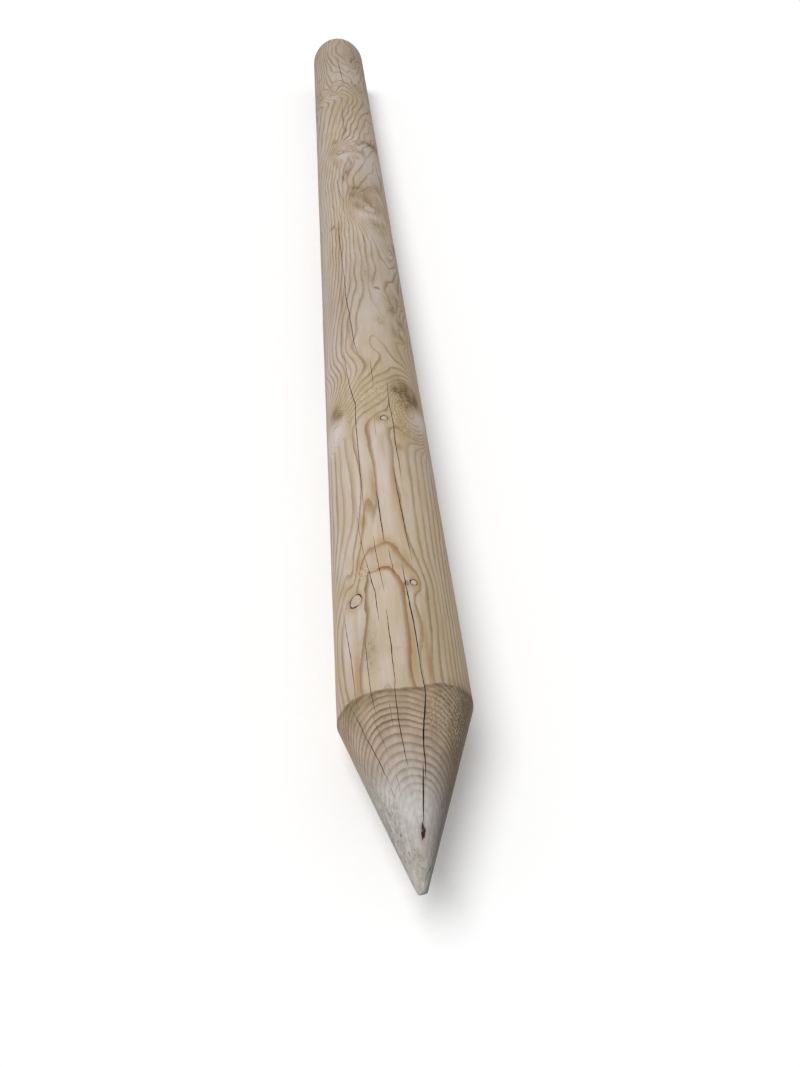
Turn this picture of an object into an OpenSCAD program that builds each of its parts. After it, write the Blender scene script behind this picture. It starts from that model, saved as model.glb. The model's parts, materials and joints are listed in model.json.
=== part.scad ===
// Round timber stake: a machined cylindrical shank with a conical point cut on one end.
// It is one piece of wood, lying on its side on the plane z = 0.
// The shank runs along X, +X is the way the point faces, and the origin is under the
// middle of the length.

/* [Shank] */
// Diameter of the round shank
shank_d = 100; // [60:1:160]
// Overall length, from the sawn end to the blunt tip
stake_l = 1750; // [900:10:3000]

/* [Point] */
// Length of the conical point, from its shoulder to the blunt tip
point_l = 134; // [80:1:260]
// Diameter of the blunt tip
tip_d = 5; // [2:0.5:20]

/* [Sawn end] */
// Width of the 45 degree chamfer round the sawn end
end_chamfer = 4; // [1:0.5:12]

/* [Hidden] */

shank_r = shank_d / 2;
tip_r = tip_d / 2;
// Facets of the preview's round faces
round_fn = 128;

// Half of the stake's lengthwise section, as [radius, distance from the sawn end]
half_section = [
    [0, 0],
    [shank_r - end_chamfer, 0],
    [shank_r, end_chamfer],
    [shank_r, stake_l - point_l],
    [tip_r, stake_l],
    [0, stake_l],
];

// The turned solid, standing on its sawn end
module turned_stake() {
    rotate_extrude($fn = round_fn) polygon(half_section);
}

// The stake as it lies, resting on the shank
module stake() {
    color("tan")
        translate([-stake_l / 2, 0, shank_r])
            rotate([0, 90, 0])
                turned_stake();
}

stake();
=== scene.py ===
"""A pointed round timber stake lying on a pale floor.

The stake is one piece of softwood. Its skin is built ring by ring from the CAD solid's sizes, and
drying checks and knot gaps are cut into it. Its growth rings are the distance from a wandering pith,
swollen at each whorl of knots, so the grain is the same wood on every face.

Places in the wood are given as an angle round the shank (degrees from the top, positive toward +Y)
and a distance back from the point's shoulder (millimetres, negative on the point). Angles on the
point are round its own axis, which leans a little.
"""
import json
import math

import bmesh
import bpy
import numpy as np
from mathutils import Matrix, Vector


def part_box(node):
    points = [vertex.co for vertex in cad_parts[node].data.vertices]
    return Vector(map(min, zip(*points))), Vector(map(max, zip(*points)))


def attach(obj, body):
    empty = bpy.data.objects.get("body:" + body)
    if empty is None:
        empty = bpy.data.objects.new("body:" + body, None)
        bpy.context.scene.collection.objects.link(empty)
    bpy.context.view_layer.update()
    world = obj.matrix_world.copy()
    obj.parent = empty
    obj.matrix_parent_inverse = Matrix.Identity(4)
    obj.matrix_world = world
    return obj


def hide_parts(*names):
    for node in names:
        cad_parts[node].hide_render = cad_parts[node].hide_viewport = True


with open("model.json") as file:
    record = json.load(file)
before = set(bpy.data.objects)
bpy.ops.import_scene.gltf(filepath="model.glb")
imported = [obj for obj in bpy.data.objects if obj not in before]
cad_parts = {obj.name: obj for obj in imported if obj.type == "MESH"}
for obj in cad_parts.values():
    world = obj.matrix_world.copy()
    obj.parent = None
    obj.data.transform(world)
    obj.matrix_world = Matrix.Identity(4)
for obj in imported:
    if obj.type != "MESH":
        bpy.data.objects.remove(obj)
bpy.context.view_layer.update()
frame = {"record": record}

MM = 0.001

# ---- sizes, from the CAD frame
low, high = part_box("stake")
mounts = {mount["name"]: mount for mount in frame["record"]["mounts"]}
SHANK_R = (high.z - low.z) / 2 / MM
SHANK_L = mounts["shank"]["dims"]["length_mm"]
SHOULDER_X = mounts["shank"]["pos_m"][0] / MM + SHANK_L / 2
POINT_L = high.x / MM - SHOULDER_X
CHAMFER = SHOULDER_X - SHANK_L - low.x / MM
END_S = SHANK_L + CHAMFER

# Radius of the blunt tip, before its flat cuts
TIP_R = 3.2
# The point was turned a little off the shank's axis: sideways and upward
TIP_OFFSET = np.array([-1.5, 3.9])
# The last stretch of the tip, where its cut faces count as skin
BLUNT_TIP = 12
# Flat cuts on the tip: name, offset from its middle, direction that the cut faces
TIP_CUTS = [("left_facet", (0, -1.2, 0), (0.5, -0.8, 0.3)), ("end_facet", (-0.2, 0, 0), (1, 0.12, -0.2))]
# Side of the block that makes such a cut
TIP_CUT_BLOCK = 40
# How much the planing took off the full radius, and the saw off the full length
PLANED_OFF = 0.25
SAWN_OFF = 0.12

# Where the point's shoulder lies round the shank: angle, distance
SHOULDER = [
    (-180, 1), (-135, -1.5), (-100, -6), (-75, -8), (-60, -8), (-30, -10.5), (-12, -13), (5, -13),
    (9, -12), (12, -10), (30, -5.5), (50, -3), (60, -1), (90, 1.5), (135, 2), (180, 1),
]

# ---- the wood: pith, rings, whorls
# How the pith wanders: distance, sideways and upward offset from the shank's axis
PITH = [
    (-140, 1, 21), (-100, 0.6, 18.6), (-60, -2, 13.2), (0, -4.4, 11.65), (30, -4.0, 11.7),
    (60, -3.6, 11.65), (92, -3.4, 11.3), (112, -2.6, 10.6), (138, -2, 9.7), (165, -1.2, 9.1),
    (290, -1.0, 9.1), (340, 4.5, 8.4), (380, 5.5, 7.8), (420, 0.8, 9.9), (450, 0.6, 9.7),
    (490, 1.5, 9.6), (560, 4.6, 9.4), (640, 6.5, 9.6), (760, 7, 9.6), (880, 5, 8), (960, 6, 6.5),
    (1040, 7.5, 4), (1240, 7, 3), (1340, 2.5, 8), (1440, 2.5, 11.5), (1520, 2, 13.5), (1640, 1, 13),
]
# How far the tree's taper brings outer rings to the skin: distance, rise
TAPER = [(310, 0), (410, 7.5), (1000, 8), (1240, 13), (1340, 13.5), (1440, 14), (1540, 14), (1620, 15)]
# Where a branch or a bulge lifts the rings:
# angle, distance, lift, reach toward the sawn end, reach toward the point, sideways reach, squareness
SWELLS = [
    # next to the point
    (-76, 55, 3.4, 45, 70, 19, 1), (-58, 75, 0.4, 30, 80, 8, 1), (-46, 108, -1.0, 18, 18, 5, 1),
    (-38, 55, -0.35, 40, 40, 5, 1), (12, 86, 0.5, 14, 9, 6, 1), (13, 68, -0.5, 8, 14, 5, 1),
    (28, 85, 0.8, 20, 80, 14, 1), (-25, 170, 1.4, 20, 20, 4.5, 1), (-28, 143, 0.9, 20, 20, 7, 1),
    (-33, 108, 0.7, 16, 16, 7, 1), (-20, 99, 0.25, 9, 9, 10, 1), (6, 124, -0.55, 17, 17, 7, 1),
    # the first whorl
    (43, 317, 9, 44, 40, 22, 1.5), (18, 332, 1.2, 22, 25, 10, 1), (-62, 304, 6, 24, 20, 17, 2.5),
    # the lone knot after it, and the second whorl
    (13, 554, 1.5, 30, 16, 8, 1), (17, 784, 8, 36, 60, 20, 1.2), (46, 712, 6, 45, 60, 18, 1),
    # wrinkled grain on the right, between the whorls
    (42, 454, 1.6, 12, 8, 7, 1), (47, 488, 1.8, 14, 8, 7, 1), (34, 520, 1.5, 12, 8, 7, 1),
    (50, 548, 1.6, 14, 8, 8, 1), (25, 538, 0.9, 10, 8, 5, 1),
    # the third and fourth whorls
    (-20, 984, 5, 30, 20, 10, 1.3), (-4, 985, 5, 30, 20, 10, 1.3), (-23, 1262, 4, 50, 20, 12, 1),
    (-55, 1287, 4, 60, 20, 12, 1), (-31, 1310, 1.6, 170, 30, 15, 1), (30, 1310, 3, 30, 30, 14, 1),
    # the sides and the underside
    (150, 84, 6, 45, 30, 14, 1), (-140, 300, 9, 50, 30, 22, 1.3), (130, 312, 8, 50, 30, 20, 1.3),
    (-110, 560, 6, 50, 25, 16, 1), (120, 548, 7, 50, 25, 18, 1), (-150, 782, 8, 50, 40, 22, 1.3),
    (90, 770, 8, 50, 40, 22, 1.3), (-95, 980, 7, 45, 25, 16, 1), (140, 990, 7, 45, 25, 16, 1),
    (100, 1270, 7, 50, 25, 16, 1), (-160, 1255, 8, 50, 25, 18, 1), (70, 1505, 6, 45, 25, 16, 1),
    (-120, 1495, 7, 45, 25, 16, 1),
]
# The tree's growth, fast at first: distance from the pith, rings counted
RINGS = [(0, 0), (12, 5), (28, 12.6), (38.5, 20), (60, 38.3), (80, 49), (100, 59)]

# How light all the wood is, and how tan the planed wood is: distance, amount
LIGHT = [
    (-134, 1.08), (-60, 1), (300, 0.97), (420, 0.9), (520, 0.84), (800, 0.87), (1080, 0.84), (1350, 0.75),
    (SHANK_L - 2, 0.7), (SHANK_L, 1),
]
TAN = [(0, 0.8), (150, 0.65), (260, 0.35), (330, 0.9), (400, 0.75), (470, 0.45), (2000, 0.5)]

# Branch ends that show on the shank: angle, distance, radius, paleness, strength of the dark rim
KNOTS = [
    # on the upper side
    (-43, 78, 5.9, 0.9, 1), (11.5, 85.5, 3, 1, 1), (2, 297, 3.6, 0.9, 1), (13, 554, 2.5, 0.5, 1),
    (-43, 739, 2.5, 0.3, 0.8), (18, 777, 9, 1, 0.4), (-20, 983, 5.5, 0.9, 1), (-4, 985, 5, 0.9, 1),
    (-23, 1262, 5, 0.9, 0.3), (-55, 1287, 5, 0.5, 0.4), (-58, 1400, 3.5, 0.3, 0.5),
    # on the sides and the underside
    (150, 84, 6, 0.2, 1), (-140, 300, 9, 0.4, 1), (130, 312, 8, 0.1, 1), (-110, 560, 5, 0.6, 0.8),
    (120, 548, 7, 0.2, 1), (-150, 782, 8, 0.1, 1), (90, 770, 9, 0.5, 1), (-95, 980, 6, 0.2, 1),
    (140, 990, 7, 0.5, 0.8), (100, 1270, 7, 0.1, 1), (-160, 1255, 8, 0.5, 1), (70, 1505, 6, 0.2, 1),
    (-120, 1495, 7, 0.4, 1),
]
# Swollen places that the planing left proud: angle, distance, reach, height
LUMPS = [
    (47, 308, 17, 0.55), (-60, 304, 15, 0.45), (17, 776, 13, 0.5), (-12, 978, 14, 0.4),
    (-24, 1262, 12, 0.4), (130, 308, 14, 0.4), (-140, 296, 14, 0.4), (-43, 736, 6, 0.2),
]
# Gaps that dried open round a knot: knot's angle, distance and radius, arc from and to (degrees
# from the sawn end's side, positive toward +Y), width, depth
GAPS = [
    (-43, 78, 6, -170, -10, 1.4, 5), (-43, 78, 6, 145, 215, 1.2, 4), (-43, 78, 6, 10, 75, 0.8, 3),
    (11.5, 85.5, 2.9, -170, 170, 1.1, 4), (2, 297, 3.5, -170, 150, 1.1, 4),
    (13, 554, 2.5, -170, 60, 0.8, 3), (-20, 983, 5.5, -150, 60, 0.6, 3),
    (-140, 300, 9, -60, 110, 1.4, 6), (130, 312, 8, 100, 260, 1.2, 6), (90, 770, 9, -150, 20, 1.3, 6),
    (-160, 1255, 8, 30, 200, 1.2, 5), (-120, 1495, 7, -40, 130, 1.0, 5), (120, 548, 7, 150, 320, 1.1, 5),
]

# ---- stains, and a few patches of painted highlight and painted shade
# Soft patches on the skin: angle, distance, reach along, reach across, strength
WARM = [
    (13, 85, 13, 5, 0.5), (24, 330, 26, 8, 0.6), (38, 345, 18, 10, 1.0), (-55, 334, 16, 11, 0.7),
    (-5, 298, 8, 3, 1.0), (-23, 177, 12, 4, 1.0), (-29, 160, 8, 2, 0.9), (14, 255, 5, 4, 1.0),
    (-45, 4, 30, 3.5, 1.0), (3, 30, 42, 4, 0.9), (15.5, 12, 38, 2.2, 0.9), (14, 88, 12, 4.5, 0.3),
    (-37, 190, 60, 2, 0.5), (-16.5, 200, 26, 2.4, 1.0), (3.5, 205, 28, 2.2, 1.0), (-11, 131, 5, 6, 0.8),
    (-2, 122, 8, 4, 0.7), (6, 108, 10, 4, 0.7), (-25, 124, 5, 6, 0.7), (-36, 112, 9, 4, 0.7),
    (-30, 158, 8, 3, 0.7), (-60, 100, 8, 5, 0.4), (-53, 95, 8, 5, 0.4), (-36, 100, 14, 9, 0.4),
    (-12, 112, 16, 16, 0.25), (-3, 258, 17, 3.5, 0.45), (-13, 102, 3, 14, 0.6), (4, 832, 22, 14, 0.35),
    (-14, 905, 40, 5, 0.5), (-36, 300, 22, 4, 0.5), (-17, 285, 30, 2.5, 0.6), (-28, 1310, 26, 10, 0.6),
    (-60, 1330, 26, 9, 0.6), (15, 262, 30, 5, 0.3), (20, 285, 16, 8, 0.5), (40, 275, 8, 14, 0.4),
    (20, 1110, 50, 8, 0.3), (45, 1050, 20, 14, 0.6), (-146, 340, 26, 14, 0.8), (128, 350, 24, 13, 0.8),
    (95, 815, 26, 14, 0.8), (-152, 825, 26, 12, 0.7), (102, 1305, 26, 12, 0.7),
    (-160, 1292, 26, 12, 0.7), (7, -107, 2, 1.5, 0.5), (-52, -50, 12, 9, 0.6),
    (-33.5, 690, 60, 1.8, 0.8), (-28, 450, 34, 2, 0.6), (-40, 462, 34, 1.8, 0.7),
    (-36.5, 545, 44, 1.8, 0.7), (-33, 490, 80, 9, 0.25), (12, 984, 8, 5, 0.7), (-32, 962, 12, 5, 0.6),
    (-27, 930, 16, 2.5, 0.6), (4, 962, 6, 6, 0.5),
]
OLIVE = [
    (10, 478, 8, 6, 0.9), (27, 470, 60, 4, 0.6), (25, 730, 22, 12, 0.9), (-28, 945, 16, 6, 0.9),
    (20, 978, 18, 4, 1.0), (-24, 178, 8, 2.4, 0.8), (-33, 25, 20, 9, 0.7), (-48, -13, 7, 22, 0.9),
    (-62, -60, 9, 8, 0.7), (66, -26, 32, 15, 1.0), (35, 418, 14, 8, 0.7), (0, 330, 26, 26, 0.25),
    (-20, 345, 26, 22, 0.25), (42, 458, 8, 7, 0.8), (43, 492, 7, 6, 0.8), (32, 512, 8, 7, 0.7),
    (3, 285, 20, 1.6, 0.8), (9, 262, 10, 1.6, 0.8), (40, 545, 20, 8, 0.7), (-40, 870, 60, 3, 0.7),
    (30, 60, 80, 14, 0.4), (22, 300, 24, 5, 0.8), (30, 282, 8, 12, 0.7), (20, 365, 20, 12, 0.6),
    (-8, 1210, 40, 20, 0.3), (150, 500, 90, 20, 0.5), (-120, 150, 70, 16, 0.4), (36, 722, 26, 9, 0.8),
    (12, 480, 7, 4, 0.8),
]
PALE = [
    (-58, 303, 21, 13, 1.0), (-70, 296, 26, 10, 0.8), (50, 314, 17, 11, 1.0), (60, 328, 12, 7, 0.8),
    (-6, 222, 40, 6, 0.6), (-4, 282, 8, 5, 0.5), (-56, 45, 34, 5, 0.6), (-40, 55, 18, 2.5, 0.6),
    # The patches at 758 mm here and at 755 and 780 mm on the next line are pale wood with a painted
    # highlight on the swollen knot there
    (13, 550, 16, 8, 0.8), (27, 758, 13, 6, 0.8), (5, 88, 4, 3, 0.7), (8, 70, 9, 2.5, 0.8),
    (4, 505, 44, 14, 0.5), (6, 755, 14, 10, 1.0), (18, 780, 11, 8, 0.8), (30, 950, 60, 20, 0.7),
    (-14, 964, 8, 15, 1.0), (-8, 930, 24, 6, 0.5), (-24, 1250, 16, 9, 0.8), (-25, 480, 50, 14, 0.2),
    (-72, 420, 120, 8, 0.5), (-68, 700, 300, 9, 0.5), (-140, 290, 16, 12, 0.6), (90, 760, 18, 12, 0.6),
    (160, 560, 90, 14, 0.4), (-100, 1100, 90, 10, 0.4), (-50, -74, 8, 8, 1.0), (-30, -88, 14, 12, 0.6),
    (10, -85, 10, 8, 0.4),
]
DARK = [
    (47, 346, 8, 7, 1.0), (38, 341, 10, 8, 1.0), (29, 349, 9, 9, 1.0), (33, 328, 9, 4, 1.0),
    (20, 346, 8, 7, 0.8), (44, 357, 10, 10, 0.8), (24, 330, 10, 5, 0.6), (30, 366, 7, 12, 0.5),
    (-60, 336, 9, 7, 0.8), (-51, 325, 7, 7, 0.8), (-58, 312, 1.5, 5, 0.7), (-2, 842, 8, 6, 0.7),
    (-8, 818, 14, 5, 0.7), (14, 843, 7, 7, 0.6), (28, 852, 9, 6, 0.6), (40, 870, 12, 6, 0.7),
    (14, 806, 10, 8, 0.5), (-2, 785, 10, 5, 0.6), (36, 795, 10, 8, 0.5), (19, 796, 4, 4, 0.8),
    (9, 778, 3, 2, 0.6), (24, 790, 3, 5, 0.7), (6.5, -100.5, 5, 1.5, 1.0), (27, 740, 10, 7, 0.4),
    (40, 748, 8, 5, 0.3), (62, 706, 14, 6, 0.8), (51, 683, 7, 7, 0.6), (42, 646, 7, 7, 0.4),
    (10, 822, 16, 12, 0.35), (-12, 1045, 26, 4, 0.4), (-30, 1032, 5, 5, 0.4), (3, 1062, 24, 2.5, 0.35),
    (8, 956, 6, 3, 0.5), (12, 1020, 7, 5, 0.7), (22, 1031, 7, 5, 0.9), (32, 1038, 6, 6, 1.0),
    (43, 1045, 7, 7, 1.0), (52, 1056, 9, 6, 1.0), (59, 1074, 14, 5, 0.8), (-19, 882, 12, 2, 0.9),
    (-13, 900, 10, 2.4, 0.9), (-7, 915, 10, 2.4, 0.8), (-4, 934, 12, 2.2, 0.7), (-6, 954, 9, 2, 0.6),
    (20, 985, 14, 2.5, 0.5), (-34, 1000, 12, 8, 0.4), (0, 1000, 8, 8, 0.4), (-28, 1036, 8, 6, 0.5),
    (-8, 1080, 14, 3, 0.6), (-10, 1130, 18, 2.5, 0.5), (28, 1315, 16, 8, 0.6), (-5, 1312, 12, 6, 0.4),
    (30, 1500, 60, 16, 0.4), (-146, 326, 14, 12, 0.6), (128, 335, 14, 12, 0.6), (92, 795, 12, 12, 0.6),
    # The first patch here, along the point's right edge, is partly grime and partly painted shade
    (72, -45, 60, 12, 0.8), (56, -14, 18, 12, 0.6), (-45, 740, 5, 4, 0.7), (8, 574, 12, 3, 0.4),
    (0, 590, 14, 2, 0.5), (30, 470, 12, 5, 0.4), (43, 492, 9, 7, 0.75), (34, 512, 11, 6, 0.6),
    (38, 461, 7, 9, 0.5), (42, 545, 14, 4, 0.5), (52, 590, 16, 6, 0.4),
]
# Where the grain is worn or furred over, and hardly shows: the same columns
FAINT = [
    (24, 690, 70, 24, 0.7), (10, 230, 40, 10, 0.4), (0, 560, 60, 10, 0.3), (12, 500, 40, 12, 0.6),
    (20, 820, 40, 20, 0.6), (15, 500, 60, 12, 0.8), (-20, -7, 4, 5, 1.0), (-10, 980, 26, 22, 0.5),
    (-50, 300, 16, 14, 0.9), (50, 312, 16, 12, 0.9), (3, 430, 26, 12, 0.8), (-3, 258, 17, 4, 0.6),
    (40, 470, 60, 12, 0.25), (-60, 130, 60, 14, 0.3), (-62, 600, 170, 10, 0.85), (-60, 860, 90, 8, 0.5),
]
SPECKS = [
    (-33, 102, 8, 9, 1.0), (18, 318, 24, 6, 1.0), (-24, 334, 9, 12, 1.0), (-48, 330, 12, 8, 0.5),
    (0, 345, 14, 9, 0.8), (38, -24, 18, 18, 0.4), (20, -26, 14, 10, 0.25), (60, -34, 24, 10, 0.2),
    (35, 292, 14, 8, 0.7), (27, 328, 18, 7, 0.5), (24, 280, 6, 9, 0.7), (-5, 995, 8, 14, 0.6),
    (-34, 292, 10, 6, 0.5), (10, 600, 30, 10, 0.4),
]
DIRT = [
    (-33, 30, 22, 7, 0.9), (-16, 85, 4, 3, 0.8), (-60, -15, 12, 10, 0.5), (-66, -85, 16, 9, 0.7),
    (-10, -116, 7, 5, 1.0), (-40, -95, 20, 6, 0.25), (-75, -95, 30, 10, 0.9), (60, -10, 12, 12, 0.5),
    (10, -127, 5, 3, 0.8), (120, 60, 60, 20, 0.5), (-150, 1200, 120, 24, 0.4), (175, 400, 200, 20, 0.5),
    (35, 1590, 20, 20, 0.4), (-40, 1600, 20, 24, 0.4), (31, 27, 1.5, 1.2, 1.0), (38, 124, 2, 1, 1.0),
    (-14, 20, 1.2, 16, 0.5),
]

# ---- drying checks
# Each has its width, its depth, and the places that it runs through: angle, distance
CHECKS = [
    # on the upper side, from the tip back: the third and fourth form a small pit at the pith
    (1.1, 12, [(8.8, -96), (7.8, -84), (7.6, -74), (7.8, -62)]),
    (1.25, 18, [(10.8, -70), (11.2, -62), (10.2, -57), (8.9, -53), (9.2, -42), (9.6, -35), (10.2, -28),
                (10.2, -15), (8.8, -9), (8.2, 4)]),
    (2.0, 1.3, [(5.4, -95), (6.6, -100), (5.8, -106)]),
    (1.6, 1.2, [(9.5, -97), (9, -101), (8.4, -105)]),
    (1.0, 16, [(8.2, -2), (7.8, 20), (6.4, 48), (4.5, 76), (3, 104)]),
    (0.6, 8, [(-10.5, -63), (-12.8, -44), (-13.5, -20), (-13.6, -6)]),
    (0.65, 10, [(-13, -10), (-13.7, 20), (-15, 60)]),
    (0.85, 10, [(-40, -71), (-43, -62), (-45.5, -54), (-49.5, -43), (-53, -32), (-58, -9)]),
    (0.5, 6, [(-36, -80), (-41, -71)]),
    (0.9, 8, [(-49, -18), (-50, 4), (-53, 30), (-57, 58), (-61, 84)]),
    (0.6, 6, [(-34, -28), (-34, -4), (-36, 42)]),
    (0.3, 5, [(-31, -56), (-36, -36), (-38, -22)]),
    (0.3, 5, [(-26, -78), (-28, -62)]),
    (0.3, 5, [(-20, -38), (-21, -18)]),
    (0.7, 9, [(-22, 48), (-23, 78), (-27, 98), (-31, 120)]),
    (0.5, 8, [(-31, 118), (-34, 148), (-36, 172)]),
    (0.45, 7, [(-5, 92), (-8, 124)]),
    (0.5, 8, [(-15, 76), (-19, 115), (-21, 140)]),
    (0.9, 13, [(-11, 130), (-12.5, 160), (-13.5, 194)]),
    (0.8, 12, [(13, 106), (11, 135), (8, 172), (6.4, 200), (5.5, 224)]),
    (0.85, 14, [(-27.5, 172), (-28, 240), (-28, 300), (-27, 328), (-31, 350), (-35, 384), (-39, 430)]),
    (0.4, 7, [(-58, 106), (-60, 142)]),
    (0.9, 12, [(12.5, 208), (12.5, 235), (11, 262), (12, 290), (10, 320), (10.5, 360)]),
    (0.5, 7, [(34, 342), (34, 376)]),
    (0.5, 8, [(-6, 348), (-6.5, 400)]),
    (0.3, 5, [(-9, 268), (-8.5, 300)]),
    (0.95, 12, [(-20, 412), (-24, 445), (-27, 480), (-30, 530), (-31.5, 620)]),
    (0.85, 11, [(-31.3, 606), (-33, 680), (-34.5, 748)]),
    (0.6, 9, [(-23, 798), (-27, 845), (-31, 896)]),
    (0.4, 6, [(2, 668), (3, 694)]),
    (0.6, 9, [(-9, 1076), (-10, 1130), (-8, 1205)]),
    (0.9, 12, [(1, 1305), (-3, 1350), (-6, 1410), (-9, 1480)]),
    # on the sides and the underside
    (1.1, 14, [(110, 40), (104, 160), (108, 290), (103, 420)]),
    (0.8, 12, [(168, 10), (173, 120), (170, 260)]),
    (1.3, 18, [(-128, 420), (-122, 560), (-125, 700), (-118, 860)]),
    (0.7, 10, [(-95, 60), (-92, 150), (-96, 240)]),
    (1.1, 16, [(75, 830), (80, 960), (78, 1120)]),
    (1.2, 16, [(155, 900), (150, 1060), (153, 1220)]),
    (0.8, 12, [(-80, 1180), (-84, 1290), (-82, 1400)]),
    (1.0, 14, [(-150, -70), (-146, -20), (-148, 60)]),
    (0.7, 10, [(95, -80), (88, -30), (90, 4)]),
    # in the sawn end
    (1.4, 26, [(98, 1470), (104, 1560), (101, 1650)]),
    (1.2, 20, [(-72, 1530), (-68, 1660)]),
    (1.6, 30, [(-165, 1440), (-168, 1530), (-166, 1660)]),
    (0.8, 16, [(20, 1585), (22, 1650)]),
    # a nick at the tip
    (0.4, 2, [(46, -119), (26, -125), (15, -132)]),
]


# ---- functions of the wood
# How far the bends of a table are rounded, and how far it holds past its ends
ROUNDING = 22
BEYOND = 100
# Waves that are added up in a swirl
WAVES = 8


def column(table, index):
    """One column of a table of tuples, as numbers."""
    return np.array([row[index] for row in table], float)


def smoothstep(start, end, value):
    """0 below start, 1 above end, and smooth between."""
    part = np.clip((value - start) / (end - start), 0, 1)
    return part * part * (3 - 2 * part)


def profile(table, place, index=1):
    """A column of a table, read between its points by its first column."""
    return np.interp(place, column(table, 0), column(table, index))


def rounded(table, index, s):
    """A column of a table at distance s, with its bends rounded."""
    grid = np.arange(table[0][0] - BEYOND, table[-1][0] + float(BEYOND))
    line = np.pad(profile(table, grid, index), ROUNDING, mode="edge")
    window = np.hanning(2 * ROUNDING + 1)
    line = np.convolve(line, window / window.sum(), "valid")
    return np.interp(s, grid, line)


def turned(theta, angle):
    """The turn from an angle in degrees to theta, in radians, the short way round."""
    return (theta - math.radians(angle) + np.pi) % (2 * np.pi) - np.pi


def swirl(s, y, z, seed, along, across):
    """A smooth seeded field of about unit size, with waves of those lengths."""
    draw = np.random.default_rng(seed)
    total = 0
    for _ in range(WAVES):
        way = draw.normal(size=3)
        way /= np.linalg.norm(way)
        start = draw.uniform(0, 2 * np.pi)
        phase = way[0] * s / along + (way[1] * y + way[2] * z) / across
        total = total + np.sin(2 * np.pi * phase + start)
    return total / np.sqrt(WAVES)


def ring_number(s, y, z):
    """Growth rings counted from the pith to a place in the wood."""
    distance = np.hypot(y - rounded(PITH, 1, s), z - rounded(PITH, 2, s))
    radius = np.hypot(y, z)
    theta = np.arctan2(y, z)
    for angle, place, lift, to_end, to_point, sideways, squareness in SWELLS:
        ds = s - place
        reach = np.where(ds > 0, to_end, to_point)
        fall = ((ds / reach) ** 2 + (turned(theta, angle) * radius / sideways) ** 2) ** squareness
        distance = distance - lift * np.exp(-fall) * (radius / SHANK_R)
    distance = distance + rounded(TAPER, 1, s)
    distance = distance + 0.25 * swirl(s, y, z, seed=5, along=260, across=60)
    distance = distance + 0.08 * swirl(s, y, z, seed=6, along=60, across=16)
    past_first_whorl = smoothstep(360, 480, s)
    distance = distance + 0.15 * past_first_whorl * swirl(s, y, z, seed=8, along=50, across=22)
    at_second_whorl = np.exp(-((s - 765) / 60) ** 2)
    distance = distance + 0.3 * at_second_whorl * swirl(s, y, z, seed=9, along=34, across=13)
    return profile(RINGS, distance)


def shoulder_line(theta):
    """Distance at which the point begins, at an angle in radians."""
    edge = profile(SHOULDER, np.degrees(turned(theta, 0)))
    torn = 0.25 * np.sin(23 * theta + 1) * np.sin(9 * theta)
    finely_torn = 0.2 * np.sin(57 * theta) * np.sin(13 * theta + 2)
    return edge + torn + finely_torn


def relief(theta, s):
    """How far the planed surface lies below the full radius."""
    y, z = SHANK_R * np.sin(theta), SHANK_R * np.cos(theta)
    depth = PLANED_OFF + 0.12 * swirl(s, y, z, seed=11, along=180, across=50)
    depth = depth + 0.05 * swirl(s, y, z, seed=12, along=40, across=14)
    for angle, place, radius, _, _ in KNOTS:
        away = np.hypot((s - place) / 1.3, turned(theta, angle) * SHANK_R) / radius
        hollow = (0.1 + 0.04 * radius) * np.exp(-((away - 1.7) / 0.7) ** 2)
        crown = 0.15 * np.exp(-(away / 0.8) ** 2)
        depth = depth + hollow - crown
    for angle, place, reach, height in LUMPS:
        away = np.hypot((s - place) / 1.2, turned(theta, angle) * SHANK_R) / reach
        depth = depth - height * np.exp(-away ** 4)
    return np.clip(depth, -0.3, None)


def surface(theta, s):
    """Sideways and upward place of the skin, from the shank's axis."""
    out = np.stack([np.sin(theta), np.cos(theta)], -1)
    edge = shoulder_line(theta)
    along = np.clip((edge - s) / (edge + POINT_L), 0, 1)[..., None]
    skin = out * SHANK_R * (1 - along) + (TIP_OFFSET + out * TIP_R) * along
    less_toward_tip = np.clip(1 - along * 1.05, 0.1, 1)
    return skin - out * relief(theta, s)[..., None] * less_toward_tip


def to_frame(s, y, z):
    """Metres in the shared frame, from millimetres in the wood."""
    return np.stack([SHOULDER_X - s, y, SHANK_R + z], -1) * MM


def from_frame(points):
    """Distance from the shoulder, and sideways and upward offset from the shank's axis."""
    points = points / MM
    return SHOULDER_X - points[:, 0], points[:, 1], points[:, 2] - SHANK_R


# ---- the stake's mesh
def in_scene(name, data):
    """A new object, linked to the scene."""
    made = bpy.data.objects.new(name, data)
    bpy.context.scene.collection.objects.link(made)
    return made


# Points in a ring, and the distances between rings: fine near the shoulder, coarse farther back
COLUMNS = 160
FINE_ROW = 2.2
COARSE_ROW = 5.5
FINE_UP_TO = 450
# The last ring before the shoulder, and how far back the rings bend to its line
LAST_ROW = 0.6
BENT_UP_TO = 40
# Half the width of the shoulder's worn edge
WORN_EDGE = 0.3
# Distance between rings on the point, as a share of its length
POINT_ROW = 0.011


def ring_angles(count=COLUMNS):
    """The angles of a ring of points."""
    return np.linspace(-np.pi, np.pi, count, endpoint=False)


def column_count(radius, narrowest, fewest):
    """Points in a ring of that radius, halved until none is too close to the next."""
    count = COLUMNS
    while count > fewest and 2 * math.pi * radius / count < narrowest:
        count //= 2
    return count


def skin_ring(theta, s):
    """Points of the skin at those angles and distances."""
    y, z = surface(theta, s).T
    return to_frame(s, y, z)


def flat_ring(count, s, radius, middle=(0, 0)):
    """A plain circle of points at distance s."""
    theta = ring_angles(count)
    y, z = middle[0] + np.sin(theta) * radius, middle[1] + np.cos(theta) * radius
    return to_frame(np.full(count, s), y, z)


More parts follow.
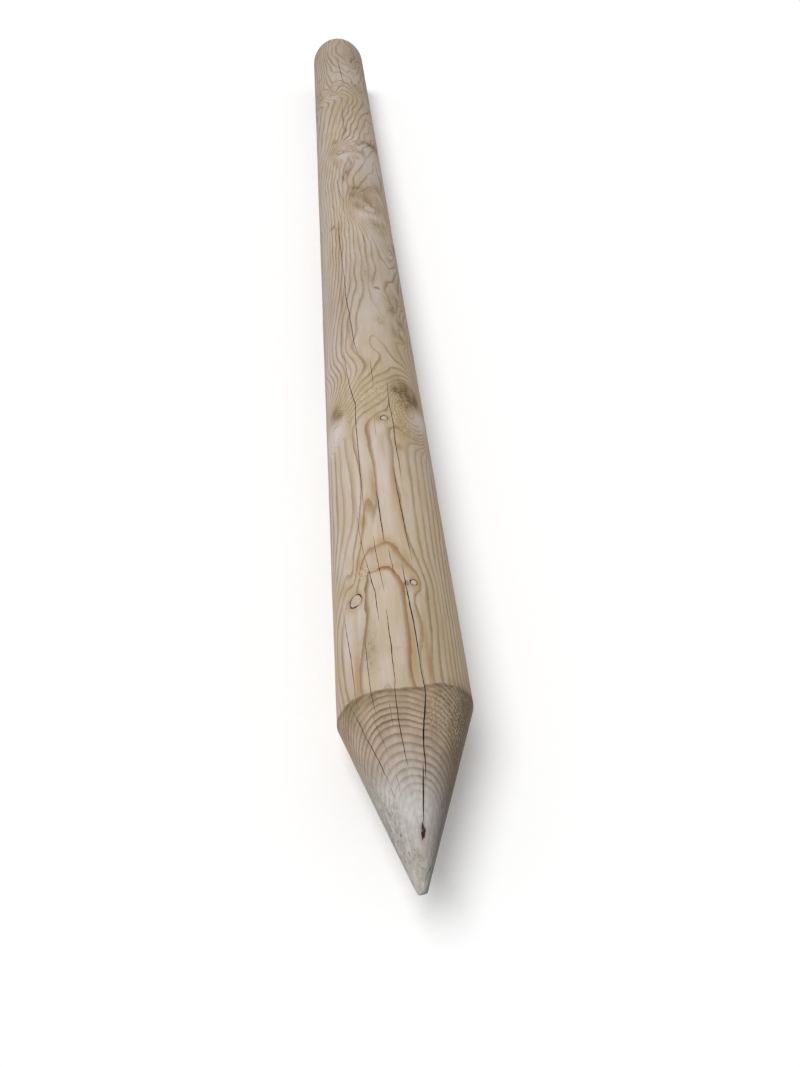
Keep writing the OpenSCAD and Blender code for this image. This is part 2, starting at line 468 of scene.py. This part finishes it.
def shank_rings():
    """Rings of points on the shank, from the sawn end to the shoulder."""
    theta = ring_angles()
    edge = shoulder_line(theta)
    coarse = np.arange(SHANK_L, FINE_UP_TO, -COARSE_ROW)
    fine = np.arange(FINE_UP_TO, 2 * LAST_ROW, -FINE_ROW)
    for row in np.concatenate([coarse, fine, [LAST_ROW]]):
        yield skin_ring(theta, row + edge * max(0, 1 - row / BENT_UP_TO))


def shoulder_rings():
    """The worn edge between shank and point, as a curve from one to the other."""
    theta = ring_angles()
    edge = shoulder_line(theta)
    first, corner, last = (skin_ring(theta, edge + away) for away in (WORN_EDGE, 0, -WORN_EDGE))
    for part in (0.3, 0.5, 0.7):
        yield first * (1 - part) ** 2 + corner * 2 * part * (1 - part) + last * part ** 2


def point_rings():
    """Rings of points on the point, with fewer columns as it narrows."""
    along = 0.01
    while along < 1:
        count = column_count(SHANK_R * (1 - along), narrowest=1.0, fewest=20)
        theta = ring_angles(count)
        edge = shoulder_line(theta)
        yield skin_ring(theta, edge - along * (edge + POINT_L))
        along += POINT_ROW
    for share, drop in ((1, 0.35), (0.85, 0), (0.4, 0)):
        yield flat_ring(count, drop - POINT_L, TIP_R * share, TIP_OFFSET)


def sawn_rings():
    """Rings of points on the sawn end, from near its middle out over the chamfer."""
    rim = SHANK_R - CHAMFER
    for radius in np.concatenate([[1.2], np.arange(3, rim - 1.5, FINE_ROW), [rim - 0.5, rim]]):
        theta = ring_angles(column_count(radius, narrowest=1.2, fewest=10))
        y, z = radius * np.sin(theta), radius * np.cos(theta)
        rough = SAWN_OFF + 0.06 * swirl(y * 0, y, z, seed=21, along=9, across=9)
        yield to_frame(END_S - rough, y, z)
    for part in (0.15, 0.5, 0.85):
        yield flat_ring(COLUMNS, END_S - CHAMFER * part, rim + CHAMFER * part - PLANED_OFF)


def stretch(ring, number, count):
    """One of count equal stretches of a closed ring of vertex numbers, with both its ends."""
    step = len(ring) // count
    return [ring[(number * step + k) % len(ring)] for k in range(step + 1)]


def band(first, second):
    """Outward faces between two rings of vertex numbers, the second nearer the tip."""
    count = min(len(first), len(second))
    faces = []
    for number in range(count):
        near, far = stretch(first, number, count), stretch(second, number, count)
        faces.append((near[0], *far, *near[:0:-1]))
    return faces


def stake_mesh():
    """The whole closed skin of the stake."""
    rings = [*sawn_rings(), *shank_rings(), *shoulder_rings(), *point_rings()]
    points = [to_frame(np.array([END_S - SAWN_OFF]), np.zeros(1), np.zeros(1))]
    numbers = []
    total = 1
    for ring in rings:
        numbers.append(list(range(total, total + len(ring))))
        total += len(ring)
        points.append(ring)
    points.append(to_frame(np.array([-POINT_L]), TIP_OFFSET[:1], TIP_OFFSET[1:]))
    first, last = numbers[0], numbers[-1]
    faces = [(0, first[i], first[(i + 1) % len(first)]) for i in range(len(first))]
    for one, other in zip(numbers, numbers[1:]):
        faces += band(one, other)
    faces += [(total, last[(i + 1) % len(last)], last[i]) for i in range(len(last))]
    mesh = bpy.data.meshes.new("stake_timber")
    mesh.from_pydata(np.concatenate(points).tolist(), [], faces)
    mesh.validate()
    return mesh


# ---- cutting the checks
# Seeds of the first check and of the first gap
CHECK_SEED = 100
GAP_SEED = 300
# How far a wedge stands out of the skin, and how far it may stray from its path
CLEAR = 1.0
MOST_STRAY = 1.2
# Places along the arc of a gap
GAP_PLACES = 13


def knife(path, width, depth, seed, step=3.0, stray=0.14):
    """A closed wedge along a path on the skin that points at the pith, with a section every step."""
    draw = np.random.default_rng(seed)
    theta, s = np.radians(column(path, 0)), column(path, 1)
    run = np.concatenate([[0], np.cumsum(np.hypot(np.diff(theta) * SHANK_R, np.diff(s)))])
    count = max(6, int(run[-1] / step))
    at = np.linspace(0, run[-1], count)
    theta, s = np.interp(at, run, theta), np.interp(at, run, s)
    y, z = surface(theta, s).T
    inward = np.stack([0 * s, rounded(PITH, 1, s) - y, rounded(PITH, 2, s) - z], -1)
    inward /= np.linalg.norm(inward, axis=1)[:, None]
    spine = np.stack([-s, y, z], -1)
    ahead = np.gradient(spine, axis=0)
    side = np.cross(ahead, inward)
    side /= np.linalg.norm(side, axis=1)[:, None]
    wander = np.cumsum(draw.normal(size=count))
    wander = stray * (wander - np.interp(at, [at[0], at[-1]], [wander[0], wander[-1]]))
    spine = spine + side * np.clip(wander, -MOST_STRAY, MOST_STRAY)[:, None]
    fullness = np.sin(np.pi * (at / at[-1] * 0.98 + 0.01)) ** 0.5
    half = width / 2 * fullness * draw.uniform(0.7, 1.15, count)
    deep = depth * fullness * draw.uniform(0.85, 1, count)
    flare = (half * (1 + CLEAR / np.maximum(deep, 1)))[:, None]
    left = spine + side * flare - inward * CLEAR
    right = spine - side * flare - inward * CLEAR
    bottom = spine + inward * deep[:, None]
    rows = np.stack([left, right, bottom], 1).reshape(-1, 3)
    points = to_frame(-rows[:, 0], rows[:, 1], rows[:, 2])
    faces = [(2, 1, 0)]
    for i in range(count - 1):
        for a, b in ((0, 1), (1, 2), (2, 0)):
            faces.append((3 * i + a, 3 * i + b, 3 * i + 3 + b, 3 * i + 3 + a))
    end = 3 * (count - 1)
    faces.append((end, end + 1, end + 2))
    return points, faces


def cutter(name, points, faces):
    """A closed mesh object for a boolean cut."""
    mesh = bpy.data.meshes.new(name)
    mesh.from_pydata(points.tolist(), [], faces)
    return in_scene(name, mesh)


def cut_all(stake, cutters):
    """Takes every cutter out of the stake, and removes the cutters."""
    for tool in cutters:
        cut = stake.modifiers.new(tool.name, "BOOLEAN")
        cut.operation = "DIFFERENCE"
        cut.solver = "MANIFOLD"
        cut.object = tool
    graph = bpy.context.evaluated_depsgraph_get()
    mesh = bpy.data.meshes.new_from_object(stake.evaluated_get(graph))
    stake.modifiers.clear()
    stake.data = mesh
    for tool in cutters:
        bpy.data.objects.remove(tool)


def drop_chips(mesh):
    """Deletes the loose crumbs that crossing cuts leave behind."""
    work = bmesh.new()
    work.from_mesh(mesh)
    work.verts.ensure_lookup_table()
    kept = {work.verts[0]}
    front = [work.verts[0]]
    while front:
        vertex = front.pop()
        for edge in vertex.link_edges:
            other = edge.other_vert(vertex)
            if other not in kept:
                kept.add(other)
                front.append(other)
    loose = [vertex for vertex in work.verts if vertex not in kept]
    bmesh.ops.delete(work, geom=loose, context="VERTS")
    work.to_mesh(mesh)
    work.free()


def check_cutters():
    """One wedge for each drying check."""
    made = []
    for number, (width, depth, path) in enumerate(CHECKS):
        points, faces = knife(path, width, depth, CHECK_SEED + number)
        made.append(cutter(f"check_{number}", points, faces))
    return made


def gap_cutters():
    """One curved wedge for each gap round a knot."""
    made = []
    for number, (angle, place, radius, start, end, width, depth) in enumerate(GAPS):
        turn = np.radians(np.linspace(start, end, GAP_PLACES))
        s = place + radius * np.cos(turn)
        theta = angle + np.degrees(radius * np.sin(turn) / SHANK_R)
        arc = list(zip(theta, s))
        points, faces = knife(arc, width, depth, GAP_SEED + number, step=1.2, stray=0.06)
        made.append(cutter(f"gap_{number}", points, faces))
    return made


def facet_cutters():
    """Two blocks that cut the blunt tip: a facet on its left, and its end a little askew."""
    tip = Vector((SHOULDER_X + POINT_L, TIP_OFFSET[0], SHANK_R + TIP_OFFSET[1]))
    made = []
    for name, offset, facing in TIP_CUTS:
        turn = Vector(facing).to_track_quat("Z", "Y").to_matrix().to_4x4()
        half = Matrix.Translation((0, 0, TIP_CUT_BLOCK / 2))
        place = Matrix.Translation(tip + Vector(offset)) @ turn @ half
        work = bmesh.new()
        bmesh.ops.create_cube(work, size=TIP_CUT_BLOCK)
        bmesh.ops.transform(work, matrix=Matrix.Scale(MM, 4) @ place, verts=work.verts)
        mesh = bpy.data.meshes.new(name)
        work.to_mesh(mesh)
        work.free()
        made.append(in_scene(name, mesh))
    return made


# ---- what the material reads
# How uneven the sawn end may be and still count as skin
UNEVEN = 0.3
# Half the width over which the planed look gives way to the cut look
BLEND = 0.4
# Folds sharper than this many degrees show as edges
SHARP_ANGLE = 38


def from_middle(s, y, z):
    """Sideways and upward offset from the middle of the stake's section at s, and that middle."""
    middle = np.zeros((len(s), 2))
    # The middle and the angle round it depend on each other, and soon settle
    for _ in range(4):
        theta = np.arctan2(y - middle[:, 0], z - middle[:, 1])
        edge = shoulder_line(theta)
        along = np.clip((edge - s) / (edge + POINT_L), 0, 1)
        middle = TIP_OFFSET * along[:, None]
    return y - middle[:, 0], z - middle[:, 1], middle


def depth_below(s, y, z):
    """Depth in the wood below the nearest skin, from zero on the skin itself."""
    across, up, middle = from_middle(s, y, z)
    skin = surface(np.arctan2(across, up), s) - middle
    side = np.hypot(skin[:, 0], skin[:, 1]) - np.hypot(across, up)
    end = END_S - UNEVEN - s
    chamfer = (side + end - CHAMFER + UNEVEN) / math.sqrt(2)
    below = np.clip(np.minimum(np.minimum(side, end), chamfer), 0, None)
    return np.where(s < BLUNT_TIP - POINT_L, 0, below)


def knot_middle(knot):
    """Distance, and sideways and upward offset, of a knot's middle on the shank's skin."""
    theta = math.radians(knot[0])
    return knot[1], SHANK_R * math.sin(theta), SHANK_R * math.cos(theta)


def nearest_knot(s, y, z, index):
    """One column of KNOTS, for the nearest knot."""
    place = np.stack([s, y, z], -1)
    nearest = np.full(len(s), np.inf)
    found = np.zeros(len(s))
    for knot in KNOTS:
        away = np.linalg.norm(place - np.array(knot_middle(knot)), axis=1) / knot[2]
        found = np.where(away < nearest, knot[index], found)
        nearest = np.minimum(away, nearest)
    return found


def line_spacing(s, y, z, step=0.5):
    """How many rings cross each millimetre of the shank's skin."""
    here = ring_number(s, y, z)
    theta = np.arctan2(y, z)
    along = ring_number(s + step, y, z) - here
    across = ring_number(s, y + step * np.cos(theta), z - step * np.sin(theta)) - here
    return np.hypot(along, across) / step


TABLES = {
    "warm": WARM, "olive": OLIVE, "pale": PALE, "dark": DARK, "faint": FAINT,
    "specks": SPECKS, "dirt": DIRT,
}


def tan_base(s, y, z):
    """How tan the planed wood is: warmer near the point, round the first whorl and on the right."""
    right = 0.3 * np.clip(y / SHANK_R, -1, 1)
    uneven = 0.25 * swirl(s, y, z, seed=31, along=220, across=60)
    return np.clip(profile(TAN, s) + right + uneven, 0, 1)


def lightness_and_painted_shade(s, y, z):
    """How light the wood is: darker far back, with painted shade on the shank's left and on the point's
    right.
    """
    across, up, _ = from_middle(s, y, z)
    theta = np.degrees(np.arctan2(across, up))
    # Painted shade, as darker colour: down the shank's left side from about 200 mm back, and over the
    # point's right side, most near the tip
    left = smoothstep(-35, -80, theta) * smoothstep(200, 700, s) * smoothstep(-150, -100, theta)
    right = smoothstep(5, 70, theta) * smoothstep(4, -4, s) * smoothstep(170, 95, theta)
    painted_shade_strength = profile([(-110, 0.52), (-40, 0.32)], s)
    base = profile(LIGHT, s) * (1 - 0.15 * left) * (1 - painted_shade_strength * right)
    return base + 0.03 * swirl(s, y, z, seed=33, along=260, across=70)


def patches(s, y, z, table):
    """The soft patches of one table, added up, 0 to 1."""
    across, up, _ = from_middle(s, y, z)
    theta, radius = np.arctan2(across, up), np.hypot(across, up)
    total = np.zeros(len(s))
    for angle, place, along, around, strength in table:
        away = ((s - place) / along) ** 2 + (turned(theta, angle) * radius / around) ** 2
        total += strength * np.exp(-away)
    return np.clip(total, 0, 1)


def wood_values(s, y, z):
    """All that the material reads, by name, at each place in the wood."""
    edge = shoulder_line(np.arctan2(y, z))
    on_point = smoothstep(BLEND, -BLEND, s - edge)
    on_end = smoothstep(-BLEND, BLEND, s - SHANK_L)
    return {
        "ring": ring_number(s, y, z),
        "spacing": line_spacing(s, y, z),
        "pale_knot": nearest_knot(s, y, z, index=3),
        "rim_knot": nearest_knot(s, y, z, index=4),
        "tan": tan_base(s, y, z),
        "bright": lightness_and_painted_shade(s, y, z),
        **{name: patches(s, y, z, table) for name, table in TABLES.items()},
        "below": depth_below(s, y, z),
        "cut": np.maximum(on_point, on_end),
        "sawn": on_end,
        "rim": np.exp(-((s - edge + 1.2) / 1.6) ** 2),
        "weather": smoothstep(-30, -95, s + 0.3 * y),
    }


def mark_wood(mesh):
    """Writes to each vertex all that the material reads."""
    points = np.empty(len(mesh.vertices) * 3, np.float32)
    mesh.vertices.foreach_get("co", points)
    places = from_frame(points.reshape(-1, 3).astype(float))
    for name, values in wood_values(*places).items():
        layer = mesh.attributes.new(name, "FLOAT", "POINT")
        layer.data.foreach_set("value", values.astype(np.float32))


def make_stake():
    """The finished stake object."""
    stake = in_scene("stake_timber", stake_mesh())
    cut_all(stake, check_cutters() + gap_cutters() + facet_cutters())
    mesh = stake.data
    drop_chips(mesh)
    mark_wood(mesh)
    mesh.shade_smooth()
    mesh.set_sharp_from_angle(angle=math.radians(SHARP_ANGLE))
    mesh.materials.clear()
    return stake


# ---- material
def srgb(red, green, blue):
    """A colour as the eye sees it, 0 to 255, for the shader."""
    linear = []
    for channel in (red, green, blue):
        value = channel / 255
        linear.append(value / 12.92 if value <= 0.04045 else ((value + 0.055) / 1.055) ** 2.4)
    return (*linear, 1)


class Graph:
    """Adds nodes to a material or a sky, each returned as the socket that it puts out."""

    def __init__(self, owner):
        self.tree = owner.node_tree
        self.tree.nodes.clear()

    def add(self, kind, sockets=None, output=0, **settings):
        """A node with its settings, its sockets set or linked, and its output socket returned."""
        made = self.tree.nodes.new("ShaderNode" + kind)
        for name, value in settings.items():
            setattr(made, name, value)
        for name, value in (sockets or {}).items():
            if isinstance(value, bpy.types.NodeSocket):
                self.tree.links.new(value, made.inputs[name])
            else:
                made.inputs[name].default_value = value
        return made.outputs[output]

    def surface(self, shader, kind="OutputMaterial"):
        """Sends a shader to the output."""
        out = self.tree.nodes.new("ShaderNode" + kind)
        self.tree.links.new(shader, out.inputs["Surface"])

    def math(self, operation, first, second=0.0, clamp=False):
        """One calculation on two numbers."""
        return self.add("Math", {0: first, 1: second}, operation=operation, use_clamp=clamp)

    def times(self, first, second, clamp=False):
        """The product of two numbers."""
        return self.math("MULTIPLY", first, second, clamp)

    def plus(self, first, second, clamp=False):
        """The sum of two numbers."""
        return self.math("ADD", first, second, clamp)

    def minus(self, first, second):
        """The difference of two numbers."""
        return self.math("SUBTRACT", first, second)

    def centred(self, noise, size):
        """A noise about zero, of that size from its lowest to its highest."""
        return self.times(self.minus(noise, 0.5), size)

    def step(self, value, start, end, low=0.0, high=1.0):
        """A smooth step from low to high as value goes from start to end."""
        sockets = {"Value": value, "From Min": start, "From Max": end, "To Min": low, "To Max": high}
        return self.add("MapRange", sockets, interpolation_type="SMOOTHSTEP")

    def edge(self, width, share):
        """One, less a share of the width."""
        return self.minus(1.0, self.times(width, share))

    def mix(self, factor, first, second, blend="MIX"):
        """Two colours mixed: the node's sockets 0, 6 and 7, and output 2, are those for colours."""
        sockets = {0: factor, 6: first, 7: second}
        return self.add("Mix", sockets, output=2, data_type="RGBA", blend_type=blend)

    def value(self, name):
        """A number written to the mesh."""
        return self.add("Attribute", output="Fac", attribute_name=name)

    def stretched(self, along, across, up=None):
        """Object coordinates, so that one unit is along in X, across in Y and up in Z, in mm."""
        here = self.add("TexCoord", output="Object")
        scale = Vector((1 / (along * MM), 1 / (across * MM), 1 / ((up or across) * MM)))
        return self.add("VectorMath", {0: here, 1: scale}, operation="MULTIPLY")

    def noise(self, along, across, detail=2.0, rough=0.5, up=None):
        """A noise whose features are about that long along the stake and across it, in mm."""
        sockets = {
            "Vector": self.stretched(along, across, up), "Scale": 1.0, "Detail": detail,
            "Roughness": rough,
        }
        return self.add("TexNoise", sockets)


def ring_lines(g):
    """Latewood: soft on the inner side of each ring, sharp on the outer, and never very wide."""
    spacing = g.value("spacing")
    calm = g.times(spacing, 6.0, clamp=True)
    wobble = g.centred(g.noise(30, 9, 2.0), 0.28)
    fray = g.centred(g.noise(7, 1.6, 2.0), 0.3)
    shift = g.times(g.plus(wobble, fray), calm)
    ring = g.plus(g.value("ring"), shift)
    part = g.math("FRACT", ring)
    year = g.math("FLOOR", ring)
    planed = g.math("MINIMUM", g.math("MAXIMUM", g.times(spacing, 6.0), 0.08), 0.56)
    width = g.plus(planed, g.times(g.value("cut"), g.minus(0.7, planed)))
    rise = g.step(part, g.minus(1.0, width), g.edge(width, 0.15))
    line = g.times(rise, g.step(part, g.edge(width, 0.13), 1.0, 1.0, 0.0))
    luck = g.add("TexWhiteNoise", {"W": year}, noise_dimensions="1D")
    climate = g.math("COSINE", g.times(g.minus(year, 20.0), 0.9))
    strength = g.plus(g.times(luck, 0.3), g.times(climate, 0.15))
    strength = g.plus(strength, 0.68)
    patchy = g.step(g.noise(90, 14, 2.0), 0.3, 0.65, 0.6, 1.0)
    seen = g.minus(1.0, g.times(g.value("faint"), 0.65))
    return g.times(g.times(line, strength), g.times(patchy, seen))


def knot_distance(g):
    """Distance to the nearest knot's middle, in that knot's own radii."""
    here = g.add("TexCoord", output="Object")
    nearest = None
    for knot in KNOTS:
        middle = Vector(to_frame(*knot_middle(knot)))
        away = g.add("VectorMath", {0: here, 1: middle}, operation="SUBTRACT")
        away = g.add("VectorMath", {0: away}, output="Value", operation="LENGTH")
        away = g.math("DIVIDE", away, knot[2] * MM)
        nearest = away if nearest is None else g.math("MINIMUM", nearest, away)
    bent = g.centred(g.noise(5, 4, 2.0), 0.5)
    return g.plus(nearest, bent)


def planed_colour(g, lines):
    """The long-grain colour of the shank."""
    blotch = g.step(g.noise(45, 9, 3.0), 0.32, 0.66, -0.3, 0.3)
    tan = g.plus(g.value("tan"), blotch, clamp=True)
    early = g.mix(tan, srgb(206, 192, 178), srgb(192, 173, 145))
    # The pale patches include a painted highlight round the swollen knot 777 mm back
    early = g.mix(g.value("pale"), early, srgb(213, 202, 195))
    late = g.mix(g.step(g.noise(50, 9, 2.0), 0.4, 0.62), srgb(152, 119, 84), srgb(134, 112, 84))
    faint = g.minus(1.0, g.times(g.value("pale"), 0.5))
    colour = g.mix(g.times(lines, faint), early, late)
    stain = g.mix(g.step(g.noise(20, 6, 2.0), 0.4, 0.6), srgb(178, 142, 98), srgb(164, 138, 94))
    stain = g.mix(lines, stain, srgb(136, 98, 60))
    colour = g.mix(g.times(g.value("warm"), 0.85), colour, stain)
    mottle = g.step(g.noise(12, 6, 3.0), 0.25, 0.6, 0.2, 0.65)
    colour = g.mix(g.times(g.value("olive"), mottle), colour, srgb(160, 143, 100))
    dark = g.mix(lines, srgb(124, 100, 74), srgb(70, 53, 35))
    torn = g.step(g.noise(14, 5, 3.0), 0.3, 0.6, 0.4, 1.0)
    return g.mix(g.times(g.value("dark"), torn), colour, dark)


def cut_colour(g, lines):
    """The cross-cut colour of the point and the sawn end, greyer toward the tip."""
    early = g.mix(g.step(g.noise(30, 8, 3.0), 0.35, 0.65), srgb(190, 170, 148), srgb(172, 150, 127))
    fresh = g.mix(lines, early, srgb(117, 95, 73))
    olive = g.times(g.value("olive"), g.step(g.noise(9, 6, 3.0), 0.25, 0.6, 0.25, 0.75))
    fresh = g.mix(olive, fresh, srgb(126, 112, 76))
    # The dark patches include painted shade along the point's right edge
    fresh = g.mix(g.times(g.value("dark"), 0.65), fresh, srgb(108, 88, 64))
    fresh = g.mix(g.times(g.value("warm"), 0.4), fresh, srgb(176, 140, 112))
    streak = g.step(g.noise(16, 2.5, 3.0), 0.35, 0.65)
    grey = g.mix(streak, srgb(194, 190, 185), srgb(176, 169, 162))
    grey = g.mix(g.times(g.value("pale"), 0.7), grey, srgb(215, 212, 208))
    faded = g.step(g.value("weather"), 0.4, 1.0, 0.6, 0.16)
    grey = g.mix(g.times(lines, faded), grey, srgb(128, 112, 98))
    grey = g.mix(g.times(g.value("warm"), 0.4), grey, srgb(190, 150, 124))
    pith = g.times(g.value("dark"), g.step(g.noise(6, 3, 3.0), 0.2, 0.5, 0.55, 0.95))
    grey = g.mix(pith, grey, srgb(92, 76, 64))
    colour = g.mix(g.value("weather"), fresh, grey)
    worn = g.times(g.value("rim"), g.step(g.noise(8, 8, 3.0, 0.7), 0.35, 0.65, 0.2, 0.8))
    return g.mix(worn, colour, srgb(112, 92, 64))


def add_streaks(g, colour, fibre):
    """Fine fibres and broader streaks, as a change in brightness, times the wood's lightness with its
    painted shade.
    """
    streak = g.noise(120, 3.0, 2.0)
    shade = g.plus(g.times(fibre, 0.20), g.times(streak, 0.16))
    # Times the wood's lightness, which holds painted shade on the shank's left and on the point's right
    shade = g.times(g.plus(shade, 0.82), g.value("bright"))
    grey = g.add("CombineColor", {0: shade, 1: shade, 2: shade})
    return g.mix(1.0, colour, grey, "MULTIPLY")


def add_knots(g, colour, knot):
    """Fills, dark rims and brown haloes of the knots."""
    halo = g.times(g.step(knot, 2.4, 1.1), 0.35)
    colour = g.mix(halo, colour, srgb(158, 126, 90))
    heart = g.mix(g.noise(3, 2, 2.0), srgb(160, 128, 100), srgb(128, 98, 74))
    heart = g.mix(g.value("pale_knot"), heart, srgb(200, 186, 170))
    age = g.math("FRACT", g.times(knot, 4.0))
    heart = g.mix(g.times(g.step(age, 0.5, 1.0), 0.25), heart, srgb(140, 112, 88))
    colour = g.mix(g.step(knot, 0.98, 0.86), colour, heart)
    rim = g.times(g.step(knot, 0.82, 0.98), g.step(knot, 1.2, 1.02))
    rim = g.times(rim, g.step(g.noise(8, 6, 1.0), 0.3, 0.6, 0.3, 1.0))
    rim = g.times(rim, g.value("rim_knot"))
    return g.mix(rim, colour, srgb(92, 68, 46))


def add_dirt(g, colour):
    """Grime, dark flecks in it, and pale specks of dried resin."""
    grime = g.times(g.value("dirt"), g.step(g.noise(7, 5, 4.0, 0.7), 0.35, 0.7))
    colour = g.mix(g.times(grime, 0.55), colour, srgb(120, 116, 96))
    flecks = g.times(g.value("dirt"), g.step(g.noise(2.6, 1.5, 2.0), 0.6, 0.68))
    colour = g.mix(g.times(flecks, 0.7), colour, srgb(92, 84, 68))
    dots = g.step(g.noise(1.8, 1.3, 2.0), 0.55, 0.64)
    return g.mix(g.times(g.value("specks"), dots), colour, srgb(222, 208, 168))


def add_walls_and_painted_shade(g, colour):
    """The walls of the checks and gaps, darker with depth: partly the darker wood inside them, partly
    painted shade.
    """
    below = g.value("below")
    # Painted shade: from a dark brown just below the skin to nearly black 3 mm down
    wall_and_painted_shade = g.mix(g.step(below, 0.5, 3.0), srgb(74, 58, 43), srgb(34, 27, 21))
    return g.mix(g.step(below, 0.1, 0.4), colour, wall_and_painted_shade)


def timber_material():
    """Bare machined softwood."""
    material = bpy.data.materials.new("timber")
    material.use_nodes = True
    g = Graph(material)
    lines = ring_lines(g)
    fibre = g.noise(24, 0.7, 3.0, 0.6)
    scores = g.times(g.value("sawn"), g.step(g.noise(60, 80, 2.0, 0.6, 1.5), 0.4, 0.65))
    colour = add_knots(g, planed_colour(g, lines), knot_distance(g))
    colour = g.mix(g.value("cut"), colour, cut_colour(g, lines))
    colour = g.mix(g.times(scores, 0.3), colour, srgb(118, 98, 78))
    colour = add_streaks(g, colour, fibre)
    colour = add_walls_and_painted_shade(g, add_dirt(g, colour))
    rough = g.plus(g.times(fibre, 0.2), 0.68)
    height = g.plus(g.times(lines, 0.10), g.times(fibre, 0.12))
    height = g.minus(height, g.times(scores, 0.12))
    bump = g.add("Bump", {"Height": height, "Distance": 1 * MM, "Strength": 0.6})
    sockets = {"Base Color": colour, "Roughness": rough, "Normal": bump, "Specular IOR Level": 0.25}
    g.surface(g.add("BsdfPrincipled", sockets))
    return material


# ---- floor, light and camera
# How much light the sky and the sun give
SKY = 0.40
SUN = 0.58
# Where the sun stands, and how many degrees wide it is, which softens the shadow
SUN_TOWARD = (0.05, -0.38, 1.0)
SUN_WIDTH = 35
# Half the floor's width, in metres
FLOOR_HALF = 9.0
# The camera's place, the way that it looks, and the way that is up in its picture
CAMERA_PLACE = (1.112, -0.074, 0.573)
CAMERA_AIM = (-0.728, 0.111, -0.676)
CAMERA_UP = (-0.680, 0.0, 0.733)
# The height of its sensor and its focal length, in millimetres
SENSOR_HEIGHT = 36
LENS = 29.52


def camera_only(g):
    """1 for what the camera sees, straight or in a reflection or through glass."""
    path = g.add("LightPath").node
    seen = g.math("MAXIMUM", path.outputs["Is Camera Ray"], path.outputs["Is Glossy Ray"])
    return g.math("MAXIMUM", seen, path.outputs["Is Transmission Ray"])


def make_floor():
    """A wide pale floor, white to the camera but for the shadow."""
    mesh = bpy.data.meshes.new("floor")
    corners = [(FLOOR_HALF * x, FLOOR_HALF * y, 0) for x, y in ((-1, -1), (1, -1), (1, 1), (-1, 1))]
    mesh.from_pydata(corners, [], [(0, 1, 2, 3)])
    floor = in_scene("floor", mesh)
    material = bpy.data.materials.new("floor")
    material.use_nodes = True
    g = Graph(material)
    seen = camera_only(g)
    colour = g.mix(seen, (0.7, 0.7, 0.7, 1), (1, 1, 1, 1))
    lift = g.times(seen, 0.08)
    diffuse = g.add("BsdfDiffuse", {"Color": colour})
    glow = g.add("Emission", {"Strength": lift})
    g.surface(g.add("AddShader", {0: diffuse, 1: glow}))
    mesh.materials.append(material)


def make_sky():
    """An even white sky, dimmer as a light than as a background."""
    world = bpy.data.worlds.new("sky")
    world.use_nodes = True
    g = Graph(world)
    strength = g.step(camera_only(g), 0.0, 1.0, SKY, 1.0)
    sockets = {"Color": (1, 1, 1, 1), "Strength": strength}
    shader = g.add("Background", sockets)
    g.surface(shader, "OutputWorld")
    bpy.context.scene.world = world


def make_sun():
    """A broad soft key from the upper left."""
    lamp = bpy.data.lights.new("key", "SUN")
    lamp.energy = SUN * math.pi
    lamp.angle = math.radians(SUN_WIDTH)
    key = in_scene("key", lamp)
    key.rotation_euler = Vector(SUN_TOWARD).to_track_quat("Z", "Y").to_euler()


def make_camera():
    """Looks along the stake from in front of its point and above it."""
    data = bpy.data.cameras.new("camera")
    data.sensor_fit = "VERTICAL"
    data.sensor_height = SENSOR_HEIGHT
    data.lens = LENS
    data.clip_start = 0.01
    camera = in_scene("camera", data)
    forward = Vector(CAMERA_AIM).normalized()
    right = forward.cross(Vector(CAMERA_UP)).normalized()
    turn = Matrix((right, right.cross(forward), -forward)).transposed()
    camera.matrix_world = Matrix.Translation(CAMERA_PLACE) @ turn.to_4x4()
    bpy.context.scene.camera = camera


stake = make_stake()
stake.data.materials.append(timber_material())
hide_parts("stake")
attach(stake, "root")
make_floor()
make_sky()
make_sun()
make_camera()
bpy.context.scene.view_settings.view_transform = "Standard"
